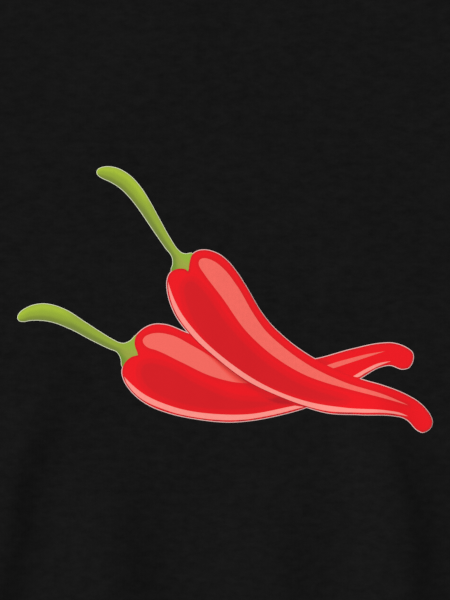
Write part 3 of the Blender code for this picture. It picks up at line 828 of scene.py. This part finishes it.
def panel_outline(neck_drop, inset=0.0):
    """A body panel, counterclockwise from the hem's left end, with its closed edges drawn in by inset."""
    corner = HEM_CORNER - (inset, 0)
    under = UNDERARM - (inset, 0)
    shoulder = SHOULDER - (inset, inset)
    neck_end = HPS - (-SEAM_GAP, inset)
    hem = line_points(corner * (-1, 1), corner)
    arm = armhole(armhole_shares(46))[0][::-1]
    arm[0] = under
    arm[-1] = shoulder
    neck = neck_points(NECK_HALF_WIDTH + SEAM_GAP, neck_drop + SEAM_GAP, 64)
    if inset:
        neck = neck[neck[:, 1] < HPS_Y - inset]
    right = np.concatenate([line_points(corner, under), arm, line_points(shoulder, neck_end)[1:]])
    return np.concatenate([hem, right, neck, mirrored(right)[:-1]])


def make_front():
    """The front with rows of points along its edges, seams and hem, and an even lattice in between."""
    edge_clearance = 0.0145
    seam_clearance = 0.0095
    hem_clearance = 0.025
    low_band = (0.003, 0.0105)
    least_gap = 0.0003
    rim_gap = 0.0001
    outline = panel_outline(FRONT_NECK_DROP)
    rows = [beside(line_points(*edge), ROUND_ROWS) for edge in (SHOULDER_EDGE, SIDE_EDGE)]
    rows.append(beside(armhole(np.linspace(0, 1, 56))[0], SEAM_ROWS))
    right = np.concatenate(rows)
    right = right[(distance_to_line(right, ARMHOLE_LINE) > least_gap) & (closed_distance(right) > rim_gap)]
    neck_rows = beside(NECK_LINE, SEAM_ROWS)
    hem_xs = np.arange(-BODY_HALF_WIDTH + 0.0018, BODY_HALF_WIDTH - 0.0017, POINT_SPACING)
    hem_rows = [np.column_stack([hem_xs, np.full(len(hem_xs), HEM_Y + line)]) for line in HEM_LINES]
    lattice = grid((-BODY_HALF_WIDTH, HEM_Y), (BODY_HALF_WIDTH, HPS_Y), POINT_SPACING)
    lattice = lattice[closed_distance(lattice) > edge_clearance]
    up = lattice[:, 1] - HEM_Y
    clear = (distance_to_line(folded(lattice), ARMHOLE_LINE) > seam_clearance) & (up > hem_clearance)
    clear &= distance_to_line(lattice, NECK_LINE) > seam_clearance
    low = (up > low_band[0]) & (up < low_band[1])
    inner = np.concatenate([right, right * (-1, 1), neck_rows, *hem_rows, lattice[clear], lattice[low]])
    inner = inner[inside(inner, outline)]
    inner = inner[to_outline(inner, outline) > rim_gap]
    flat = fill([outline], thinned(inner, least_gap))
    under = upper_underside(flat[0])
    top = under + front_thickness(flat[0])
    return add_sheet("shirt_front", flat, under, top, jersey, ["front_panel"]), outline


def make_back():
    rim_gap = 0.004
    hem_swell_below = 0.0003
    outline = panel_outline(BACK_NECK_DROP, BACK_INSET)
    lattice = grid((-BODY_HALF_WIDTH, HEM_Y), (BODY_HALF_WIDTH, HPS_Y), BACK_SPACING)
    lattice = lattice[inside(lattice, outline)]
    flat = fill([outline], lattice[to_outline(lattice, outline) > rim_gap])
    places = flat[0]
    hem = hem_swell_below * fading(places[:, 1] - HEM_Y, HEM_DEPTH, 0.001)
    top = JERSEY + ripples(places, *BACK_RIPPLES) + hem
    under = np.zeros(len(places))
    piece = add_sheet("shirt_back", flat, under, top, jersey_inside, ["back_panel"])
    return piece, outline


def make_sleeve(side, word):
    """A flattened tube of cloth, open at the armhole and the cuff, with its cuff turned up."""
    hem_clearance = 0.024
    least_room = 0.0004
    shares = armhole_shares(26)
    seam, outward = armhole(shares)
    seam = seam + SEAM_GAP * outward
    cuff = CUFF_TOP + shares[:, None] * (CUFF_BOTTOM - CUFF_TOP)
    lengths = np.linalg.norm(cuff - seam, axis=1)
    stations = [0.0] + [row / SLEEVE_LENGTH for row in SEAM_ROWS]
    stations += list(np.linspace(stations[-1], 1 - hem_clearance / SLEEVE_LENGTH, 32)[1:])
    stations += [1 - line / SLEEVE_LENGTH for line in sorted(HEM_LINES, reverse=True)] + [1.0]
    outer = []
    inner = []
    for along in stations:
        row = seam + along * (cuff - seam)
        swell = hem_swell((1 - along) * SLEEVE_LENGTH) + seam_swell(along * lengths)
        for target, inset in ((outer, 0.0), (inner, JERSEY)):
            loop = row.copy()
            loop[0] += inset * unit_vector(row[1] - row[0])
            loop[-1] += inset * unit_vector(row[-2] - row[-1])
            under = upper_underside(loop)
            high = np.maximum(under if inset else under + JERSEY + swell, inset + least_room)
            upper = np.column_stack([side * loop[:, 0], loop[:, 1], high])
            lower = np.column_stack([side * loop[:, 0], loop[:, 1], np.full(len(loop), inset)])
            target.append(np.concatenate([upper, lower[::-1]]))
    node = f"sleeve_{word}"
    loops = outer + inner[::-1]
    points = np.concatenate(loops)
    faces = tube_faces(len(loops), len(loops[0]), side > 0)
    return add_piece(f"shirt_{node}", points, faces, sleeve_knits[side], [node])


def collar_line():
    """Mid-line stations of the collar: seam point, inner edge point and upward normal, front then back."""
    seam_lift = 0.0006
    droop = 0.0016
    low = RIB_THICKNESS / 2
    high = low + 2 * RIB_FOLD_RADIUS
    angles = np.linspace(math.pi, 0, 241)
    seam = neck_points(NECK_HALF_WIDTH, FRONT_NECK_DROP, 240, math.pi, 0)
    inward = np.column_stack([-FRONT_NECK_DROP * np.cos(angles), NECK_HALF_WIDTH * np.sin(angles)])
    edge = seam + RIB_WIDTH * unit_rows(inward)
    seam_z = np.maximum(high, upper_underside(seam) + seam_lift)
    edge_z = np.maximum(high, seam_z - droop * np.sin(angles) ** 2)
    stations = [((*s, sz), (*e, ez), (0, 0, 1)) for s, e, sz, ez in zip(seam, edge, seam_z, edge_z)]
    stations += fold_line(1, high)
    seam = neck_points(NECK_HALF_WIDTH, BACK_NECK_DROP, 160)
    edge = neck_points(NECK_HALF_WIDTH - RIB_WIDTH, BACK_EDGE_DIP, 160)
    stations += [((*s, low), (*e, low), (0, 0, -1)) for s, e in zip(seam, edge)]
    stations += fold_line(-1, high)[::-1]
    return [np.array(part) for part in zip(*stations)]


def fold_line(side, high):
    """The turn of the collar from the front to the back at one shoulder, sloped like the shoulder."""
    turned = []
    for angle in np.linspace(0, math.pi, 13)[1:-1]:
        z = high - RIB_FOLD_RADIUS * (1 - math.cos(angle))
        outer = (side * NECK_HALF_WIDTH, HPS_Y + RIB_TURN_OUTER * math.sin(angle), z)
        inner = (side * (NECK_HALF_WIDTH - RIB_WIDTH), HPS_Y + RIB_TURN_INNER * math.sin(angle), z)
        turned.append((outer, inner, (0, math.sin(angle), math.cos(angle))))
    return turned


def resampled(values, travel, at):
    closed = np.concatenate([values, values[:1]])
    return np.column_stack([np.interp(at, travel, closed[:, axis]) for axis in range(3)])


def make_collar():
    """A doubled band of one-by-one rib: the ribs run across it and over its folded inner edge."""
    pitch = 0.0023
    samples = 7
    relief = 0.00036
    # Shares of the way from the seam to the fold, with the share of the full thickness there
    profile = ((0.0, 0.55), (0.03, 0.80), (0.09, 1.0), (0.30, 1.0), (0.50, 1.0), (0.70, 1.0), (0.88, 0.97),
               (0.95, 0.80), (0.99, 0.45))
    seam, edge, normal = collar_line()
    middle = (seam + edge) / 2
    steps = np.linalg.norm(np.diff(middle, axis=0, append=middle[:1]), axis=1)
    travel = np.concatenate([[0], np.cumsum(steps)])
    ribs = round(travel[-1] / pitch)
    count = ribs * samples
    at = np.arange(count) / count * travel[-1]
    seam, edge, normal = (resampled(part, travel, at) for part in (seam, edge, normal))
    normal = unit_rows(normal)
    wave = 0.5 + 0.5 * np.cos(2 * math.pi * ribs * at / travel[-1])
    half = RIB_THICKNESS / 2 - relief * (1 - wave)
    across = edge - seam
    upper, lower = (
        [seam + share * across + (sign * half * full)[:, None] * normal for share, full in profile]
        for sign in (1, -1)
    )
    fold = edge - ((1 - wave) * relief * 0.8)[:, None] * across / RIB_WIDTH
    loops = [*upper, fold, *lower[::-1]]
    points = np.stack(loops, axis=1).reshape(-1, 3)
    points[:, 2] = np.maximum(points[:, 2], 0.00002)
    faces = tube_faces(count, len(loops), True)
    return add_piece("collar_band", points, faces, rib_knit, ["collar_rib"], 80)


def make_tape():
    ends = (math.radians(20), math.radians(160))
    near = neck_points(NECK_HALF_WIDTH + SEAM_GAP, BACK_NECK_DROP + SEAM_GAP, 60, *ends)
    far = neck_points(NECK_HALF_WIDTH + TAPE_WIDTH, BACK_NECK_DROP + TAPE_WIDTH, 60, *ends)
    rows = [(near + share * (far - near))[1:-1] for share in (0.08, 0.25, 0.5, 0.75, 0.92)]
    flat = fill([np.concatenate([near, far[::-1]])], np.concatenate(rows))
    low = np.full(len(flat[0]), JERSEY + TAPE_LIFT)
    rim = np.minimum(distance_to_line(flat[0], near), distance_to_line(flat[0], far))
    high = low + TAPE_THICKNESS - 0.0004 * fading(rim, 0, 0.0008)
    return add_sheet("neck_tape_strip", flat, low, high, tape_weave, ["neck_tape"])


def stitch_row(name, line, surface, size=HEM_STITCH):
    """A row of short raised threads along a line of points on the surface."""
    pitch, length, radius = size
    travel = np.concatenate([[0], np.cumsum(np.linalg.norm(np.diff(line, axis=0), axis=1))])
    count = int(travel[-1] / pitch)
    middles = (np.arange(count) + 0.5) * pitch
    ends = []
    for shift in (-length / 2, length / 2):
        flat = np.column_stack([np.interp(middles + shift, travel, line[:, axis]) for axis in range(2)])
        ends.append(np.column_stack([flat, surface(flat) + radius * 0.25]))
    start, end = ends
    along = end - start
    side = unit_rows(np.cross((0, 0, 1), along))
    up = unit_rows(np.cross(along, side))
    # Shares of a thread's length, with the share of its full radius there
    rings = ((0.06, 0.55), (0.25, 0.95), (0.5, 1.0), (0.75, 0.95), (0.94, 0.55))
    corners = 6
    points = [start - radius * 0.6 * up]
    for share, full in rings:
        middle = start + share * along + (0.35 * radius * math.sin(math.pi * share)) * up
        for corner in range(corners):
            angle = 2 * math.pi * corner / corners
            points.append(middle + full * radius * (math.cos(angle) * side + math.sin(angle) * up))
    points.append(end - radius * 0.6 * up)
    points = np.stack(points, axis=1)
    each = points.shape[1]
    last = each - 1 - corners
    turns = [(corner, (corner + 1) % corners) for corner in range(corners)]
    template = [(0, 1 + after, 1 + corner) for corner, after in turns]
    for ring in range(1, last, corners):
        next_ring = ring + corners
        template += [(ring + a, ring + b, next_ring + b, next_ring + a) for a, b in turns]
    template += [(last + corner, last + after, each - 1) for corner, after in turns]
    faces = [tuple(base + i for i in face) for base in range(0, count * each, each) for face in template]
    return add_piece(name, points.reshape(-1, 3), faces, thread)


def cuff_line(side, distance):
    """A line on the sleeve's upper cloth at a distance from the cuff's edge."""
    seam = np.array([SHOULDER, UNDERARM])
    cuff = np.array([CUFF_TOP, CUFF_BOTTOM])
    start, end = cuff + (distance / SLEEVE_LENGTH) * (seam - cuff)
    shares = np.linspace(0.012, 0.988, 80)[:, None]
    return (start + shares * (end - start)) * (side, 1)


def make_stitches():
    pieces = []
    hem_xs = np.linspace(-BODY_HALF_WIDTH + 0.004, BODY_HALF_WIDTH - 0.004, 200)
    for index, row in enumerate(HEM_ROWS, 1):
        line = np.column_stack([hem_xs, np.full(len(hem_xs), HEM_Y + row)])
        pieces.append(stitch_row(f"hem_stitches_{index}", line, front_top))
        for side, word in SIDES:
            pieces.append(stitch_row(f"cuff_stitches_{word}_{index}", cuff_line(side, row), sleeve_top))
    away = 0.0032
    neck = neck_points(NECK_HALF_WIDTH + away, FRONT_NECK_DROP + away, 200, 0.07, math.pi - 0.07)
    pieces.append(stitch_row("neck_stitches", neck, front_top, NECK_STITCH))
    ends = (math.radians(23), math.radians(157))
    for index, away in enumerate((0.0014, TAPE_WIDTH - 0.0014), 1):
        line = neck_points(NECK_HALF_WIDTH + away, BACK_NECK_DROP + away, 120, *ends)
        pieces.append(stitch_row(f"tape_stitches_{index}", line, tape_top, FINE_STITCH))
    inset = np.array((-0.0008, -0.0042))
    shoulder = np.linspace(HPS + (0.006, -0.001) + inset, SHOULDER + (-0.003, 0.0) + inset, 60)
    for side, word in SIDES:
        pieces.append(stitch_row(f"shoulder_stitches_{word}", shoulder * (side, 1), front_top, FINE_STITCH))
    return pieces


# The print


def film(word, outlines, layer, material, tones=None, nodes=None, spacing=None):
    """A thin film of ink that follows the cloth, with values at each of its points where some are given."""
    spacing = spacing or (TONED_SPACING if tones else BAND_SPACING)
    everything = np.concatenate(outlines)
    lattice = grid(everything.min(axis=0), everything.max(axis=0), spacing)
    lattice = lattice[np.any([inside(lattice, outline) for outline in outlines], axis=0)]
    for outline in outlines:
        lattice = lattice[to_outline(lattice, outline) > spacing * 0.35]
    flat = fill(outlines, lattice)
    low = front_top(flat[0]) + INK_LIFT + layer * INK_STEP
    nodes = nodes or [f"print_{word}"]
    piece = add_sheet(f"print_{word}_film", flat, low, low + INK_FILM, material, nodes)
    for attribute_name, function in (tones or {}).items():
        values = function(flat[0])
        attribute = piece.data.attributes.new(attribute_name, "FLOAT", "POINT")
        attribute.data.foreach_set("value", np.concatenate([values, values]).astype(np.float32))
    return piece


def soft_inside(points, outline, blur):
    """1 well inside an outline, 0 well outside, with a soft edge."""
    distance = to_outline(points, outline)
    signed = np.where(inside(points, outline), distance, -distance)
    return smooth(0.5 + signed / (2 * blur))


def pepper_tones(body, other, dark, light, edge, shadow=None):
    """The tone of a pepper's red: darker on and round its dark band, beside the light one, along the rim,
    outside the pale edge and in the shadow of the pepper above."""
    outline, neighbour, band, gleam = (spline_outline(knots) for knots in (body, other, dark, light))

    def tone(points):
        rim = to_outline(points, outline)
        tones = [
            BESIDE_BAND * soft_inside(points, grown(band, 0.0030), 0.0010),
            ON_BAND * soft_inside(points, band, 0.0016),
            BESIDE_LIGHT * fading(to_outline(points, gleam), 0.0006, 0.0022),
            soft_inside(points, grown(spline_outline(edge), 0.0012), 0.0006) * (rim < 0.0013),
            np.where(inside(points, neighbour), BESIDE_BAND, AT_CLOTH) * fading(rim, 0.0010, 0.0010),
        ]
        if shadow:
            x = points[:, 0]
            share = smooth((x - 0.004) / 0.010) * fading(x, 0.060, 0.030)
            contact = fading(to_outline(points, neighbour), 0.0012, 0.0026)
            tones += [
                IN_SHADOW * soft_inside(points, spline_outline(shadow), 0.0020),
                AT_CONTACT * share * contact,
            ]
        return np.max(tones, axis=0)
    return {"tone": tone}


def rim_tones(outlines):
    """The tone of the white ink: 1 on the outlines, and 0 more than a millimetre away."""
    def tone(points):
        return fading(np.min([to_outline(points, outline) for outline in outlines], axis=0), 0, MM)
    return {"tone": tone}


def contact_tone(points):
    """1 at the upper pepper's outline, fading over a distance that grows to the right."""
    width = 0.0016 + 0.0036 * smooth((points[:, 0] + 0.012) / 0.024)
    return fading(to_outline(points, spline_outline(UPPER_PEPPER)), 0.0005, width)


def stem_tones(top, foot, under):
    """The tone is 0 along the stem's upper edge and 1 along its lower one, and the reach is 2 at the foot."""
    upper, base, lower = (np.array(knots) * MM + (0, PRINT_Y) for knots in (top, foot, under))

    def tone(points):
        above = distance_to_line(points, upper)
        below = distance_to_line(points, lower)
        return above / (above + below)

    def reach(points):
        away = distance_to_line(points, base)
        return 2 - smooth((away - 0.008) / 0.012) - smooth((away - 0.048) / 0.016)
    return {"tone": tone, "reach": reach}


def make_print():
    """The films from the lowest layer up. The dark bands are tones of the peppers' films."""
    upper_stem = (UPPER_STEM_TOP, UPPER_STEM_FOOT, UPPER_STEM_UNDER)
    lower_stem = (LOWER_STEM_TOP, LOWER_STEM_FOOT, LOWER_STEM_UNDER)
    shapes = (sum(upper_stem, ()), sum(lower_stem, ()), UPPER_PEPPER, LOWER_PEPPER)
    silhouette = [grown(spline_outline(knots), WHITE_RIM) for knots in shapes]
    coloured = [grown(spline_outline(knots), -inset) for knots, inset in zip(shapes, COLOUR_INSETS)]
    upper_red = pepper_tones(UPPER_PEPPER, LOWER_PEPPER, UPPER_DARK, UPPER_LIGHT, UPPER_EDGE)
    lower_red = pepper_tones(LOWER_PEPPER, UPPER_PEPPER, LOWER_DARK, LOWER_LIGHT, LOWER_EDGE, LOWER_SHADOW)
    films = [film("white", silhouette, 0, ink_white, rim_tones(silhouette[2:]),
                  ["print_white_base"], BASE_SPACING)]
    for word, outline, stem in (("upper", coloured[0], upper_stem), ("lower", coloured[1], lower_stem)):
        films.append(film(f"{word}_stem", [outline], 1, ink_green, stem_tones(*stem)))
    for word, outline, layer, tones in (
        ("lower", coloured[3], 2, lower_red),
        ("upper", coloured[2], 4, upper_red),
    ):
        nodes = [f"print_{word}_pepper", f"print_{word}_dark"]
        films.append(film(f"{word}_pepper", [outline], layer, ink_red, tones, nodes))
    light = [spline_outline(LOWER_LIGHT)]
    films.append(film("lower_light", light, 3, ink_shaded_light, {"tone": contact_tone}))
    for word, knots, layer, material, slot in (
        ("lower_edge", LOWER_EDGE, 3, ink_pink, "ink_pink"),
        ("tip_streak", TIP_STREAK, 3, ink_light, "ink_light_red"),
        ("tip_edge", TIP_EDGE, 3, ink_pink, "ink_pink"),
        ("upper_light", UPPER_LIGHT, 5, ink_light, "ink_light_red"),
        ("upper_edge", UPPER_EDGE, 5, ink_pink, "ink_pink"),
    ):
        films.append(film(word, [spline_outline(knots)], layer, material))
    return films


# The studio


def make_floor():
    size = 40.0
    height = -0.0003
    mesh = bpy.data.meshes.new("studio_floor")
    corners = [(x * size, y * size, height) for x, y in ((-1, -1), (1, -1), (1, 1), (-1, 1))]
    mesh.from_pydata(corners, [], [(0, 1, 2, 3)])
    nodes = Nodes("pale_floor", 0.8, 0.2)
    nodes.colour((0.76, 0.755, 0.745, 1.0))
    mesh.materials.append(nodes.material)
    placed("studio_floor", mesh)


def soft_light(name, direction, spread, strength):
    """A distant soft light that comes from a direction, as wide as its spread in degrees."""
    light = bpy.data.lights.new(name, "SUN")
    light.angle = math.radians(spread)
    light.energy = strength
    lamp = placed(name, light)
    lamp.location = direction
    lamp.rotation_euler = (-Vector(direction)).to_track_quat("-Z", "Y").to_euler()


def make_studio():
    """A floor, two lights and a world that is brighter to the camera than to the shirt."""
    on_shirt = 0.24
    to_camera = 0.72
    make_floor()
    soft_light("key", (-4.6, 1.8, 3.9), 26, 3.32)
    soft_light("fill", (3.4, -1.6, 3.4), 40, 0.38)
    world = bpy.data.worlds.new("studio")
    bpy.context.scene.world = world
    world.use_nodes = True
    tree = world.node_tree
    background = tree.nodes["Background"]
    background.inputs["Color"].default_value = (1.0, 1.0, 1.0, 1.0)
    path = tree.nodes.new("ShaderNodeLightPath")
    strength = tree.nodes.new("ShaderNodeMapRange")
    strength.inputs["To Min"].default_value = on_shirt
    strength.inputs["To Max"].default_value = to_camera
    tree.links.new(path.outputs["Is Camera Ray"], strength.inputs["Value"])
    tree.links.new(strength.outputs["Result"], background.inputs["Strength"])
    bpy.context.scene.view_settings.view_transform = "Standard"


def make_camera():
    """Straight above the print, at the height where the frame is 420 mm tall on the chest."""
    frame_height = 0.420
    lens = 85.0
    sensor = 36.0
    camera = bpy.data.cameras.new("camera")
    camera.lens = lens
    camera.sensor_width = sensor
    holder = placed("camera", camera)
    holder.location = (0, PRINT_Y, LOFT + JERSEY + frame_height * lens / sensor)
    bpy.context.scene.camera = holder


def main():
    front, front_cut = make_front()
    back, back_cut = make_back()
    sleeves = [make_sleeve(side, word) for side, word in SIDES]
    collar = make_collar()
    tape = make_tape()
    stitches = make_stitches()
    films = make_print()
    make_studio()
    make_camera()


main()
